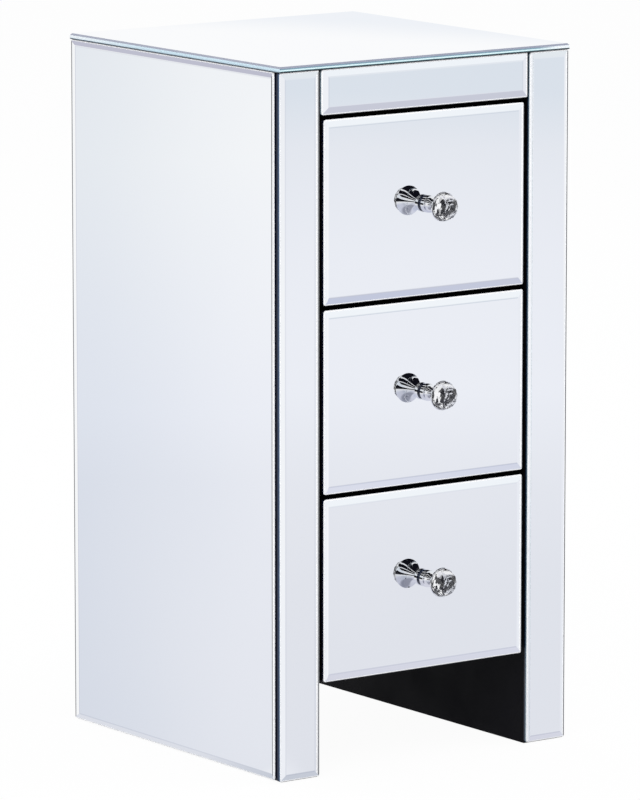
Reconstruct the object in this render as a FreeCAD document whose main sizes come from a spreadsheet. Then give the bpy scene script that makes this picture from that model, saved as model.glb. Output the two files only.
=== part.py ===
import FreeCAD, Part
import math
import os
from types import SimpleNamespace

import Sketcher

# A mirrored nightstand: a black board carcass and three drawers, all faced with bevelled mirror panes.
# X runs to the right, Y to the back and Z up, in millimetres. The origin lies on the floor, in the middle
# of the box that holds the cabinet and its knobs.

SIZES = {
    # the cabinet as seen from outside
    "width": 300,
    "depth": 310,
    "leg_clearance": 80,
    "front_height": 155,
    "front_gap": 4,
    "front_side_gap": 5,
    "front_recess": 1,
    "rail_height": 38,
    "rail_side_gap": 2,
    "stile_width": 41,
    "corner_reveal": 4.8,
    # mirror panes
    "glass": 5,
    "top_glass": 5,
    "bevel_depth": 1.4,
    "stile_bevel": 5,
    "front_bevel": 6.5,
    "side_bevel": 6.5,
    "top_arris": 0.9,
    "floor_gap": 1,
    # carcass boards
    "side_board": 12,
    "stile_board": 15,
    "top_board": 12,
    "bottom_board": 12,
    "back_board": 5,
    "back_rabbet": 7,
    "batten_height": 40,
    # drawer boxes
    "front_board": 12,
    "front_board_inset": 1,
    "drawer_wall": 10,
    "drawer_rise": 15,
    "drawer_drop": 30,
    "drawer_clearance": 2,
    "back_room": 35,
    "housing_depth": 4,
    "rabbet_depth": 5,
    "drawer_bottom": 4,
    "groove_depth": 5,
    "groove_rise": 8,
    "groove_fit": 0.2,
    # ball-bearing runners
    "runner_overlap": 70,
    "runner_height": 27,
    "runner_wall": 1.2,
    "runner_setback": 2,
    "runner_gap": 0.4,
    "ball_diameter": 2,
    "ball_play": 0.05,
    "cage_wall": 0.6,
    "cage_margin": 0.3,
    "cage_end_margin": 2,
    "cage_ball_inset": 6,
    # screws
    "hole_play": 0.05,
    "runner_screw_radius": 1.6,
    "runner_screw_length": 8,
    "runner_screw_head_radius": 3,
    "runner_screw_head": 1.8,
    "cabinet_screw_inset": 30,
    "drawer_screw_inset": 45,
    "carcass_screw_radius": 2.5,
    "carcass_screw_length": 40,
    "carcass_screw_head_radius": 4.5,
    "carcass_screw_head": 3,
    "carcass_screw_inset": 60,
    "back_screw_radius": 1.6,
    "back_screw_length": 18,
    "back_screw_head_radius": 3.4,
    "back_screw_head": 1.9,
    "back_screw_inset": 40,
    # knobs
    "foot_radius": 7.2,
    "foot_length": 6,
    "neck_radius": 3.6,
    "neck_rise": 3.5,
    "flare_length": 14.5,
    "cup_radius": 12.5,
    "rim_height": 1,
    "lip": 0.6,
    "seat_radius": 5,
    "seat_depth": 4,
    "crystal_play": 0.1,
    "girdle_height": 1.2,
    "crown_height": 11,
    "knob_screw_radius": 2,
    "knob_screw_bite": 7,
    "knob_hole_spare": 1,
    "knob_screw_head_radius": 4,
    "knob_screw_head": 2.6,
    "glass_hole_radius": 3,
    "knob_thread_play": 0.05,
}

DRAWERS = ("lower", "middle", "upper")
BALLS_PER_ROW = 4
CRYSTAL_SIDES = 12
# share of the crystal's radius and of its crown height at each ring of facets above the girdle
CROWN_RINGS = ((0.86, 0.52), (0.56, 0.87), (0.30, 1.0))

doc = FreeCAD.newDocument("nightstand")
nodes = []


class Dim:
    """A size in millimetres that carries both its value and its expression over the sheet's cells."""

    def __init__(self, value, text):
        self.value = value
        self.text = text

    def join(self, sign, other, value):
        return Dim(value, f"({self.text} {sign} {other.text})")

    def __add__(self, other):
        other = dim(other)
        return self.join("+", other, self.value + other.value)

    def __sub__(self, other):
        other = dim(other)
        return self.join("-", other, self.value - other.value)

    def __mul__(self, other):
        other = dim(other)
        return self.join("*", other, self.value * other.value)

    def __truediv__(self, other):
        other = dim(other)
        return self.join("/", other, self.value / other.value)

    def __neg__(self):
        return dim(0) - self


def dim(item):
    """Give a plain number the same form as a size from the sheet."""
    if isinstance(item, Dim):
        return item
    return Dim(float(item), str(item))


def fill_sheet():
    """Write the driving sizes into a spreadsheet and hand them back by name."""
    sheet = doc.addObject("Spreadsheet::Sheet", "Sizes")
    for row, (alias, value) in enumerate(SIZES.items(), start=1):
        sheet.set(f"A{row}", alias)
        sheet.set(f"B{row}", str(value))
        sheet.setAlias(f"B{row}", alias)
    doc.recompute()
    return SimpleNamespace(**{alias: Dim(float(sheet.get(alias)), f"Sizes.{alias}") for alias in SIZES})


size = fill_sheet()

# Places that several pieces share. Fronts and panes are measured from the stiles' front face backwards.
neck_position = size.foot_length + size.neck_rise
rim_start = neck_position + size.flare_length
cup_length = rim_start + size.rim_height
crystal_seat = cup_length - size.seat_depth
knob_reach = cup_length + size.crown_height - size.front_recess
half_width = size.width / 2
front = (knob_reach - size.depth) / 2
back = (knob_reach + size.depth) / 2
stile_back_face = front + size.glass + size.stile_board
side_mirror_front = front + size.glass + size.corner_reveal
back_inner = back - size.back_board
side_outer = half_width - size.glass
side_inner = side_outer - size.side_board
stile_inner = half_width - size.stile_width
front_pitch = size.front_height + size.front_gap
rail_bottom = size.leg_clearance + front_pitch * len(DRAWERS)
top_under = rail_bottom + size.rail_height
top_board_under = top_under - size.top_board
bottom_top = size.leg_clearance + size.drawer_rise - size.drawer_clearance
bottom_under = bottom_top - size.bottom_board

# the runner's section: u runs from the batten towards the drawer, v up from the runner's middle
runner_half = size.runner_height / 2
race = size.ball_diameter + size.ball_play * 2
race_outer = runner_half - size.runner_wall
member_half = race_outer - race
lip_low = member_half + size.runner_gap
cage_hole_radius = size.ball_diameter / 2 + size.ball_play * 2
cage_web = size.runner_wall + size.runner_screw_head + size.runner_gap
cage_web_end = cage_web + size.cage_wall
ball_line = cage_web_end + size.cage_margin + cage_hole_radius
cage_end = ball_line + cage_hole_radius + size.cage_margin
lip_start = cage_end + size.runner_gap
lip_end = lip_start + size.runner_wall
member_start = cage_web_end + size.runner_gap
member_web = lip_end + size.runner_gap
runner_width = member_web + size.runner_wall
ball_row = race_outer - race / 2

# the drawer box, common to the three drawers
front_half = stile_inner - size.front_side_gap
drawer_half = stile_inner - runner_width
drawer_inner = drawer_half - size.drawer_wall
drawer_height = size.front_height - size.drawer_rise - size.drawer_drop
front_face = front + size.front_recess
front_board_face = front_face + size.glass
front_board_back = front_board_face + size.front_board
runner_front = front_board_back + size.runner_setback
drawer_back = back_inner - size.back_room
knob_axis_rise = size.front_height / 2

# the runner's length, and the cages that stay between both members over the drawer's travel
runner_length = drawer_back - runner_front
runner_rise = size.drawer_rise + drawer_height / 2
travel = runner_length - size.runner_overlap
cage_length = size.runner_overlap - size.cage_end_margin * 2
cage_front = runner_front + travel / 2 + size.cage_end_margin
ball_pitch = (cage_length - size.cage_ball_inset * 2) / (BALLS_PER_ROW - 1)

TURNS = {
    "+x": FreeCAD.Rotation(FreeCAD.Vector(0, 1, 0), 90),
    "-x": FreeCAD.Rotation(FreeCAD.Vector(0, 1, 0), -90),
    "+y": FreeCAD.Rotation(FreeCAD.Vector(1, 0, 0), -90),
    "-y": FreeCAD.Rotation(FreeCAD.Vector(1, 0, 0), 90),
}
FACINGS = {
    "front": FreeCAD.Rotation(),
    "left": FreeCAD.Rotation(FreeCAD.Vector(0, 0, 1), -90),
    "up": FreeCAD.Rotation(FreeCAD.Vector(1, 0, 0), -90),
}


def bind(feature, sizes):
    """Bind properties of a feature to expressions over the sheet."""
    for name, value in sizes.items():
        feature.setExpression(name, dim(value).text)


def place(feature, point, turn=None):
    """Turn a feature and bind its place to expressions."""
    if turn is not None:
        feature.Placement = FreeCAD.Placement(FreeCAD.Vector(), turn)
    axes = ("x", "y", "z")
    bind(feature, {f"Placement.Base.{axis}": value for axis, value in zip(axes, point)})


def node(feature, label):
    """Name a finished piece and put it on the list of pieces to write."""
    feature.Label = label
    nodes.append(feature)
    return feature


def block(name, across, along, up):
    """A box from its spans in X, Y and Z."""
    box = doc.addObject("Part::Box", name)
    spans = zip(("Length", "Width", "Height"), (across, along, up))
    bind(box, {side: dim(high) - low for side, (low, high) in spans})
    place(box, (across[0], along[0], up[0]))
    return box


def rod(name, radius, start, direction, length):
    """A cylinder from a point, along a signed axis."""
    cylinder = doc.addObject("Part::Cylinder", name)
    bind(cylinder, {"Radius": radius, "Height": length})
    place(cylinder, start, TURNS[direction])
    return cylinder


def taper(name, start_radius, end_radius, start, direction, length):
    """A cone from a point, along a signed axis."""
    cone = doc.addObject("Part::Cone", name)
    bind(cone, {"Radius1": start_radius, "Radius2": end_radius, "Height": length})
    place(cone, start, TURNS[direction])
    return cone


def group(name, members):
    """Several separate solids as one object."""
    compound = doc.addObject("Part::Compound", name)
    compound.Links = members
    return compound


def fuse(name, base, tool):
    """Two touching solids joined into one."""
    joined = doc.addObject("Part::Fuse", name)
    joined.Base = base
    joined.Tool = tool
    joined.Refine = True
    return joined


def cut(name, base, tools):
    """A solid with the given tools taken out of it."""
    result = doc.addObject("Part::Cut", name)
    result.Base = base
    result.Tool = group(f"{name}_tools", tools)
    result.Refine = True
    return result


def mirrored(name, source):
    """The same piece on the other side of the cabinet."""
    twin = doc.addObject("Part::Mirroring", name)
    twin.Source = source
    twin.Normal = FreeCAD.Vector(1, 0, 0)
    return twin


def twins_of(sources):
    """The same pieces on the other side of the cabinet."""
    return [mirrored(f"{source.Name}_twin", source) for source in sources]


def pane(name, corner, facing, across, up, thickness, bevel, bevel_depth):
    """A glass pane with a bevel all round its face.

    The corner is the lower left one of the face. Before it is turned the face looks along -Y.
    """
    sheet_glass = doc.addObject("Part::Wedge", f"{name}_sheet")
    bind(sheet_glass, {"Xmin": 0, "X2min": 0, "Zmin": 0, "Z2min": 0})
    bind(sheet_glass, {"Xmax": across, "X2max": across, "Zmax": up, "Z2max": up})
    bind(sheet_glass, {"Ymin": bevel_depth, "Ymax": thickness})
    place(sheet_glass, corner, FACINGS[facing])
    raised_face = doc.addObject("Part::Wedge", f"{name}_face")
    bind(raised_face, {"Xmin": bevel, "Xmax": across - bevel, "Zmin": bevel, "Zmax": up - bevel})
    bind(raised_face, {"X2min": 0, "X2max": across, "Z2min": 0, "Z2max": up})
    bind(raised_face, {"Ymin": 0, "Ymax": bevel_depth})
    place(raised_face, corner, FACINGS[facing])
    return fuse(f"{name}_pane", raised_face, sheet_glass)


def origin_plane(body, role):
    """One of a body's own origin planes."""
    return next(item for item in body.Origin.OriginFeatures if item.Role == role)


def sketch_on(body, role, name):
    """A new sketch on one of a body's origin planes."""
    sketch = body.newObject("Sketcher::SketchObject", name)
    sketch.AttachmentSupport = (origin_plane(body, role), "")
    sketch.MapMode = "FlatFace"
    return sketch


def hold(sketch, constraint, value):
    """Add a dimension to a sketch and bind it to its expression."""
    index = sketch.addConstraint(constraint)
    sketch.setExpression(f"Constraints[{index}]", value.text)


def arc_between(start, end, radius, clockwise):
    """The arc of a given radius that leads from one point to the next."""
    chord = end - start
    side = FreeCAD.Vector(-chord.y, chord.x, 0).normalize()
    rise = math.sqrt(radius ** 2 - (chord.Length / 2) ** 2)
    centre = (start + end) / 2 + side * (-rise if clockwise else rise)
    first, last = (end, start) if clockwise else (start, end)
    turn = [math.atan2(point.y - centre.y, point.x - centre.x) for point in (first, last)]
    circle = Part.Circle(centre, FreeCAD.Vector(0, 0, 1), radius)
    return Part.ArcOfCircle(circle, turn[0], turn[1])


def outline(sketch, points, arcs=None):
    """Draw a closed outline, every corner held by two dimensions.

    A side listed in arcs is an arc, given by its radius, that runs clockwise.
    """
    arcs = arcs or {}
    places = [(dim(u), dim(v)) for u, v in points]
    corners = [FreeCAD.Vector(u.value, v.value, 0) for u, v in places]
    count = len(corners)
    for index, start in enumerate(corners):
        end = corners[(index + 1) % count]
        if index in arcs:
            sketch.addGeometry(arc_between(start, end, arcs[index].value, True), False)
        else:
            sketch.addGeometry(Part.LineSegment(start, end), False)
    for index in range(count):
        following = (index + 1) % count
        leaving = 1 if index in arcs else 2
        arriving = 2 if following in arcs else 1
        sketch.addConstraint(Sketcher.Constraint("Coincident", index, leaving, following, arriving))
    for index, (u, v) in enumerate(places):
        start_point = 2 if index in arcs else 1
        hold(sketch, Sketcher.Constraint("DistanceX", index, start_point, u.value), u)
        hold(sketch, Sketcher.Constraint("DistanceY", index, start_point, v.value), v)
    for index, radius in arcs.items():
        hold(sketch, Sketcher.Constraint("Radius", index, radius.value), radius)


def channel(name, points, length):
    """A rolled section, drawn across the runner and drawn out along +Y."""
    body = doc.addObject("PartDesign::Body", name)
    sketch = sketch_on(body, "XZ_Plane", f"{name}_section")
    outline(sketch, points)
    pad = body.newObject("PartDesign::Pad", f"{name}_length")
    pad.Profile = sketch
    pad.Reversed = True
    bind(pad, {"Length": length})
    return body


def turned(name, points, arcs=None):
    """A body turned about Y from an outline of radius against distance along +Y."""
    body = doc.addObject("PartDesign::Body", name)
    sketch = sketch_on(body, "XY_Plane", f"{name}_outline")
    outline(sketch, points, arcs)
    revolution = body.newObject("PartDesign::Revolution", f"{name}_turning")
    revolution.Profile = sketch
    revolution.ReferenceAxis = (sketch, ["V_Axis"])
    return body


def flare_radius(rise, run):
    """Radius of an arc that leaves the axis direction and gains a given rise over a given run."""
    return (rise * rise + run * run) / (rise * 2)


def pan_screw(name, seat, direction, radius, length, head_radius, head):
    """A screw with a flat cylinder head on its seat and its shank along a signed axis."""
    opposite = ("-" if direction[0] == "+" else "+") + direction[1]
    shank = rod(f"{name}_shank", radius, seat, direction, length)
    cap = rod(f"{name}_head", head_radius, seat, opposite, head)
    return fuse(name, shank, cap)


def mirror_panes():
    """The panes bonded to the carcass."""
    pane_height = top_under - size.floor_gap
    side_width = back - side_mirror_front
    side = pane("side", (-half_width, back, size.floor_gap), "left", side_width, pane_height,
                size.glass, size.side_bevel, size.bevel_depth)
    node(side, "left_side_mirror")
    node(mirrored("side_twin", side), "right_side_mirror")
    stile = pane("stile", (-half_width, front, size.floor_gap), "front", size.stile_width, pane_height,
                 size.glass, size.stile_bevel, size.bevel_depth)
    node(stile, "left_stile_mirror")
    node(mirrored("stile_twin", stile), "right_stile_mirror")
    rail_half = stile_inner - size.rail_side_gap
    rail = pane("rail", (-rail_half, front, rail_bottom), "front", rail_half * 2, size.rail_height,
                size.glass, size.front_bevel, size.bevel_depth)
    node(rail, "top_rail_mirror")
    top = pane("top", (-half_width, front, top_under + size.top_glass), "up", size.width, size.depth,
               size.top_glass, size.top_arris, size.top_arris)
    node(top, "top_mirror")


def carcass_screw_places():
    """Where a long screw passes through a side board into the end of the top or bottom board."""
    for level in (bottom_under + size.bottom_board / 2, top_board_under + size.top_board / 2):
        for along in (stile_back_face + size.carcass_screw_inset, back_inner - size.carcass_screw_inset):
            yield along, level


def back_screw_places():
    """Where a countersunk screw holds the back board to the boards in front of it."""
    edge = side_inner + size.back_rabbet / 2
    low = bottom_under + size.back_screw_inset
    high = top_under - size.back_screw_inset
    for across in (-edge, edge):
        for level in (low, (low + high) / 2, high):
            yield across, level
    yield dim(0), bottom_under + size.bottom_board / 2
    yield dim(0), top_board_under + size.top_board / 2


def carcass_screws():
    """The long screws through the side boards. Returns the holes that they need."""
    screws = []
    holes = []
    hole_radius = size.carcass_screw_radius + size.hole_play
    head_hole_radius = size.carcass_screw_head_radius + size.hole_play
    head_seat = size.carcass_screw_head - side_outer
    shank_length = size.carcass_screw_length - size.carcass_screw_head
    for index, (along, level) in enumerate(carcass_screw_places()):
        seat = (head_seat, along, level)
        screws.append(pan_screw(f"long_screw_{index}", seat, "+x", size.carcass_screw_radius, shank_length,
                                size.carcass_screw_head_radius, size.carcass_screw_head))
        holes.append(rod(f"long_hole_{index}", hole_radius, seat, "+x", shank_length))
        holes.append(rod(f"head_hole_{index}", head_hole_radius, seat, "-x", size.carcass_screw_head))
    node(group("long_screws", screws + twins_of(screws)), "carcass_screws")
    return holes + twins_of(holes)


def back_screws():
    """The countersunk screws of the back board. Returns the holes that they need."""
    screws = []
    holes = []
    hole_radius = size.back_screw_radius + size.hole_play
    sink_radius = size.back_screw_head_radius + size.hole_play
    for index, (across, level) in enumerate(back_screw_places()):
        seat = (across, back, level)
        shank = rod(f"back_shank_{index}", size.back_screw_radius, seat, "-y", size.back_screw_length)
        head = taper(f"back_head_{index}", size.back_screw_head_radius, size.back_screw_radius,
                     seat, "-y", size.back_screw_head)
        screws.append(fuse(f"back_screw_{index}", shank, head))
        holes.append(rod(f"back_hole_{index}", hole_radius, seat, "-y", size.back_screw_length))
        holes.append(taper(f"back_sink_{index}", sink_radius, hole_radius, seat, "-y", size.back_screw_head))
    node(group("panel_screws", screws), "back_screws")
    return holes


def carcass_boards():
    """The black boards behind the panes, drilled for their screws."""
    back_holes = back_screws()
    holes = carcass_screws() + back_holes
    panel_up = (bottom_under, top_under)
    rabbet_edge = side_inner + size.back_rabbet
    side = block("side_blank", (-side_outer, -side_inner), (stile_back_face, back), (dim(0), top_under))
    rabbet = block("back_rabbet_cut", (-rabbet_edge, -side_inner), (back_inner, back), panel_up)
    side_drilled = cut("side_drilled", side, [rabbet, *holes])
    node(side_drilled, "left_side_board")
    node(mirrored("side_drilled_twin", side_drilled), "right_side_board")
    between_sides = (-side_inner, side_inner)
    along = (stile_back_face, back_inner)
    top = block("top_blank", between_sides, along, (top_board_under, top_under))
    node(cut("top_drilled", top, holes), "top_board")
    bottom = block("bottom_blank", between_sides, along, (bottom_under, bottom_top))
    node(cut("bottom_drilled", bottom, holes), "bottom_board")
    leg = block("leg_blank", (-side_inner, -stile_inner), (stile_back_face, back), (dim(0), bottom_under))
    node(leg, "left_leg_board")
    node(mirrored("leg_board_twin", leg), "right_leg_board")
    panel_edge = rabbet_edge - size.groove_fit
    panel = block("back_blank", (-panel_edge, panel_edge), (back_inner, back), panel_up)
    node(cut("back_drilled", panel, back_holes), "back_board")


def front_frame():
    """The boards behind the stile panes and the rail pane."""
    along = (front + size.glass, stile_back_face)
    stile = block("stile_blank", (-side_outer, -stile_inner), along, (dim(0), top_under))
    node(stile, "left_stile_board")
    node(mirrored("stile_board_twin", stile), "right_stile_board")
    rail = block("rail_blank", (-stile_inner, stile_inner), along, (rail_bottom, top_under))
    node(rail, "top_rail_board")


def cabinet_member_section():
    """The outer channel of a runner, open towards the drawer, with lips that trap the balls."""
    upper = [(lip_start, race_outer), (lip_start, lip_low), (lip_end, lip_low), (lip_end, runner_half)]
    lower = [(u, -v) for u, v in reversed(upper)]
    web = [(size.runner_wall, -race_outer), (size.runner_wall, race_outer)]
    return [(dim(0), -runner_half), *lower, *web, *upper, (dim(0), runner_half)]


def drawer_member_section():
    """The inner channel of a runner, its web against the drawer's side."""
    inside = member_half - size.runner_wall
    upper = [(member_web, inside), (member_start, inside), (member_start, member_half),
             (runner_width, member_half)]
    lower = [(u, -v) for u, v in reversed(upper)]
    return lower + upper


def cage_section():
    """The strip between the two channels that spaces the balls."""
    inside = ball_row - size.cage_wall / 2
    outside = ball_row + size.cage_wall / 2
    upper = [(cage_web_end, inside), (cage_end, inside), (cage_end, outside), (cage_web, outside)]
    lower = [(u, -v) for u, v in reversed(upper)]
    return lower + upper


def cabinet_runners():
    """The outer channels, the battens behind them and the screws through both."""
    channels = []
    battens = []
    screws = []
    hole_radius = size.runner_screw_radius + size.hole_play
    for index, drawer in enumerate(DRAWERS):
        middle = size.leg_clearance + front_pitch * index + runner_rise
        member = channel(f"{drawer}_cabinet_channel", cabinet_member_section(), runner_length)
        place(member, (-stile_inner, runner_front, middle))
        batten = block(f"{drawer}_batten_blank", (-side_inner, -stile_inner), (stile_back_face, back_inner),
                       (middle - size.batten_height / 2, middle + size.batten_height / 2))
        holes = []
        for side, along in (("front", runner_front + size.cabinet_screw_inset),
                            ("back", drawer_back - size.cabinet_screw_inset)):
            seat = (size.runner_wall - stile_inner, along, middle)
            name = f"{drawer}_cabinet_screw_{side}"
            length = size.runner_screw_length + size.runner_wall
            screws.append(pan_screw(name, seat, "-x", size.runner_screw_radius, length,
                                    size.runner_screw_head_radius, size.runner_screw_head))
            holes.append(rod(f"{name}_hole", hole_radius, seat, "-x", length))
        channels.append(cut(f"{drawer}_cabinet_member", member, holes))
        battens.append(cut(f"{drawer}_batten", batten, holes))
    for label, members in (("cabinet_runners", channels), ("runner_battens", battens),
                           ("cabinet_runner_screws", screws)):
        node(group(f"{label}_group", members + twins_of(members)), label)


def drawer_runners(drawer, middle):
    """A drawer's own channels and screws. Returns the screw holes for the drawer's sides."""
    member = channel(f"{drawer}_drawer_channel", drawer_member_section(), runner_length)
    place(member, (-stile_inner, runner_front, middle))
    screws = []
    holes = []
    hole_radius = size.runner_screw_radius + size.hole_play
    length = size.runner_screw_length + size.runner_wall
    for side, along in (("front", runner_front + size.drawer_screw_inset),
                        ("back", drawer_back - size.drawer_screw_inset)):
        seat = (member_web - stile_inner, along, middle)
        name = f"{drawer}_drawer_screw_{side}"
        screws.append(pan_screw(name, seat, "+x", size.runner_screw_radius, length,
                                size.runner_screw_head_radius, size.runner_screw_head))
        holes.append(rod(f"{name}_hole", hole_radius, seat, "+x", length))
    drilled = cut(f"{drawer}_drawer_member", member, holes)
    node(group(f"{drawer}_members", [drilled, mirrored(f"{drawer}_member_twin", drilled)]),
         f"{drawer}_drawer_runners")
    node(group(f"{drawer}_screws", screws + twins_of(screws)), f"{drawer}_runner_screws")
    return holes


def ball_cages(drawer, middle):
    """The two cages of a drawer's runners, with a row of balls above and below in each."""
    cage = channel(f"{drawer}_cage", cage_section(), cage_length)
    pocket_sketch = sketch_on(cage, "XY_Plane", f"{drawer}_cage_hole")
    first = size.cage_ball_inset
    centre = FreeCAD.Vector(ball_line.value, first.value, 0)
    hole = Part.Circle(centre, FreeCAD.Vector(0, 0, 1), cage_hole_radius.value)
    circle = pocket_sketch.addGeometry(hole, False)
    hold(pocket_sketch, Sketcher.Constraint("DistanceX", circle, 3, ball_line.value), ball_line)
    hold(pocket_sketch, Sketcher.Constraint("DistanceY", circle, 3, first.value), first)
    hold(pocket_sketch, Sketcher.Constraint("Radius", circle, cage_hole_radius.value), cage_hole_radius)
    pocket = cage.newObject("PartDesign::Pocket", f"{drawer}_cage_pocket")
    pocket.Profile = pocket_sketch
    pocket.Type = "ThroughAll"
    pocket.Midplane = True
    pattern = cage.newObject("PartDesign::LinearPattern", f"{drawer}_cage_pockets")
    pattern.Originals = [pocket]
    pattern.Direction = (pocket_sketch, ["V_Axis"])
    pattern.Occurrences = BALLS_PER_ROW
    bind(pattern, {"Length": ball_pitch * (BALLS_PER_ROW - 1)})
    cage.Tip = pattern
    place(cage, (-stile_inner, cage_front, middle))
    pair = group(f"{drawer}_cage_pair", [cage, mirrored(f"{drawer}_cage_twin", cage)])
    node(pair, f"{drawer}_ball_cages")
    balls = []
    for row, level in (("low", middle - ball_row), ("high", middle + ball_row)):
        for index in range(BALLS_PER_ROW):
            ball = doc.addObject("Part::Sphere", f"{drawer}_ball_{row}_{index}")
            bind(ball, {"Radius": size.ball_diameter / 2})
            along = cage_front + size.cage_ball_inset + ball_pitch * index
            place(ball, (ball_line - stile_inner, along, level))
            balls.append(ball)
    node(group(f"{drawer}_balls", balls + twins_of(balls)), f"{drawer}_bearing_balls")


def drawer_box(drawer, floor, screw_holes):
    """The five boards of a drawer, housed and grooved into each other."""
    low = floor + size.drawer_rise
    upright = (low, low + drawer_height)
    groove_low = low + size.groove_rise
    panel_high = groove_low + size.drawer_bottom
    groove_up = (groove_low, panel_high + size.groove_fit)
    groove_half = drawer_inner + size.groove_depth
    rabbet_half = drawer_inner + size.rabbet_depth
    wall = (-drawer_half, -drawer_inner)
    housing_front = front_board_back - size.housing_depth
    groove_front = front_board_back - size.groove_depth
    back_along = (drawer_back - size.drawer_wall, drawer_back)

    board_half = front_half - size.front_board_inset
    board_up = (floor + size.front_board_inset, floor + size.front_height - size.front_board_inset)
    board = block(f"{drawer}_front_blank", (-board_half, board_half), (front_board_face, front_board_back),
                  board_up)
    housing = block(f"{drawer}_housing", wall, (housing_front, front_board_back), upright)
    groove = block(f"{drawer}_front_groove", (-groove_half, groove_half), (groove_front, front_board_back),
                   groove_up)
    hole_radius = size.knob_screw_radius + size.groove_fit
    hole_start = (dim(0), front_board_face, floor + knob_axis_rise)
    knob_hole = rod(f"{drawer}_knob_hole", hole_radius, hole_start, "+y", size.front_board)
    tools = [housing, mirrored(f"{drawer}_housing_twin", housing), groove, knob_hole]
    node(cut(f"{drawer}_front_cut", board, tools), f"{drawer}_front_board")

    side_along = (housing_front, drawer_back)
    side = block(f"{drawer}_side_blank", wall, side_along, upright)
    side_groove = block(f"{drawer}_side_groove", (-groove_half, -drawer_inner), side_along, groove_up)
    rabbet = block(f"{drawer}_rabbet", (-rabbet_half, -drawer_inner), back_along, upright)
    side_cut = cut(f"{drawer}_side_cut", side, [side_groove, rabbet, *screw_holes])
    node(side_cut, f"{drawer}_left_side")
    node(mirrored(f"{drawer}_side_twin", side_cut), f"{drawer}_right_side")

    back_up = (panel_high, upright[1])
    node(block(f"{drawer}_back_blank", (-rabbet_half, rabbet_half), back_along, back_up), f"{drawer}_back")
    panel_half = groove_half - size.groove_fit
    panel_along = (groove_front + size.groove_fit, drawer_back)
    panel = block(f"{drawer}_bottom_blank", (-panel_half, panel_half), panel_along, (groove_low, panel_high))
    node(panel, f"{drawer}_bottom")


def drawer_mirror(drawer, floor):
    """A drawer's bevelled pane, drilled for its knob."""
    blank = pane(f"{drawer}_front", (-front_half, front_face, floor), "front", front_half * 2,
                 size.front_height, size.glass, size.front_bevel, size.bevel_depth)
    hole_start = (dim(0), front_face, floor + knob_axis_rise)
    hole = rod(f"{drawer}_glass_hole", size.glass_hole_radius, hole_start, "+y", size.glass)
    node(cut(f"{drawer}_glass_cut", blank, [hole]), f"{drawer}_front_mirror")


def knob(drawer, floor):
    """A chrome trumpet on a foot, a faceted crystal in its cup, and the screw that holds it from inside."""
    level = floor + knob_axis_rise
    thread = size.knob_screw_radius + size.knob_thread_play
    thread_end = size.knob_screw_bite + size.knob_hole_spare
    mouth = size.cup_radius - size.lip
    inside = [(thread, dim(0)), (thread, -thread_end), (dim(0), -thread_end), (dim(0), -crystal_seat),
              (size.seat_radius, -crystal_seat), (mouth, -cup_length)]
    outside = [(size.cup_radius, -cup_length), (size.cup_radius, -rim_start),
               (size.neck_radius, -neck_position), (size.foot_radius, -size.foot_length),
               (size.foot_radius, dim(0))]
    flare_side = len(inside) + 1
    arcs = {flare_side: flare_radius(size.cup_radius - size.neck_radius, size.flare_length),
            flare_side + 1: flare_radius(size.foot_radius - size.neck_radius, size.neck_rise)}
    points = inside + outside
    base = turned(f"{drawer}_trumpet", points, arcs)
    place(base, (dim(0), front_face, level))
    node(base, f"{drawer}_knob_base")

    crystal = doc.addObject("Part::Feature", f"{drawer}_crystal")
    crystal.Shape = crystal_shape(mouth.value - size.crystal_play.value)
    place(crystal, (dim(0), front_face, level))
    node(crystal, f"{drawer}_knob_crystal")

    shank_length = size.front_board + size.glass + size.knob_screw_bite
    screw = pan_screw(f"{drawer}_knob_bolt", (dim(0), front_board_back, level), "-y", size.knob_screw_radius,
                      shank_length, size.knob_screw_head_radius, size.knob_screw_head)
    node(screw, f"{drawer}_knob_screw")


def crystal_shape(radius):
    """A cut crystal along -Y: a cone into the cup, a straight girdle, and a crown of triangular facets."""
    seat_ring = size.seat_radius.value - size.crystal_play.value
    girdle_top = cup_length.value + size.girdle_height.value
    crown = size.crown_height.value - size.girdle_height.value
    rings = [(seat_ring, crystal_seat.value), (radius, cup_length.value), (radius, girdle_top)]
    rings.extend((radius * share, girdle_top + crown * rise) for share, rise in CROWN_RINGS)
    half_steps = [0, 0, 0]
    half_steps.extend(range(1, len(CROWN_RINGS) + 1))
    step = 2 * math.pi / CRYSTAL_SIDES
    corners = []
    for (ring_radius, distance), half_step in zip(rings, half_steps):
        angles = [step * (index + half_step / 2) for index in range(CRYSTAL_SIDES)]
        ring = [(ring_radius * math.cos(angle), -distance, ring_radius * math.sin(angle)) for angle in angles]
        corners.append([FreeCAD.Vector(*point) for point in ring])
    faces = [polygon(corners[0]), polygon(corners[-1])]
    for band, (lower, upper) in enumerate(zip(corners, corners[1:])):
        straight = half_steps[band] == half_steps[band + 1]
        for index in range(CRYSTAL_SIDES):
            following = (index + 1) % CRYSTAL_SIDES
            if straight:
                faces.append(polygon([lower[index], lower[following], upper[following], upper[index]]))
            else:
                faces.append(polygon([lower[index], lower[following], upper[index]]))
                faces.append(polygon([lower[following], upper[following], upper[index]]))
    solid = Part.Solid(Part.Shell(faces))
    if solid.Volume < 0:
        solid.reverse()
    return solid


def polygon(points):
    """A flat face through points in order."""
    return Part.Face(Part.makePolygon([*points, points[0]]))


def drawers():
    """The three drawers with all that rides on them."""
    for index, drawer in enumerate(DRAWERS):
        floor = size.leg_clearance + front_pitch * index
        middle = floor + runner_rise
        holes = drawer_runners(drawer, middle)
        ball_cages(drawer, middle)
        drawer_box(drawer, floor, holes)
        drawer_mirror(drawer, floor)
        knob(drawer, floor)


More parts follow.
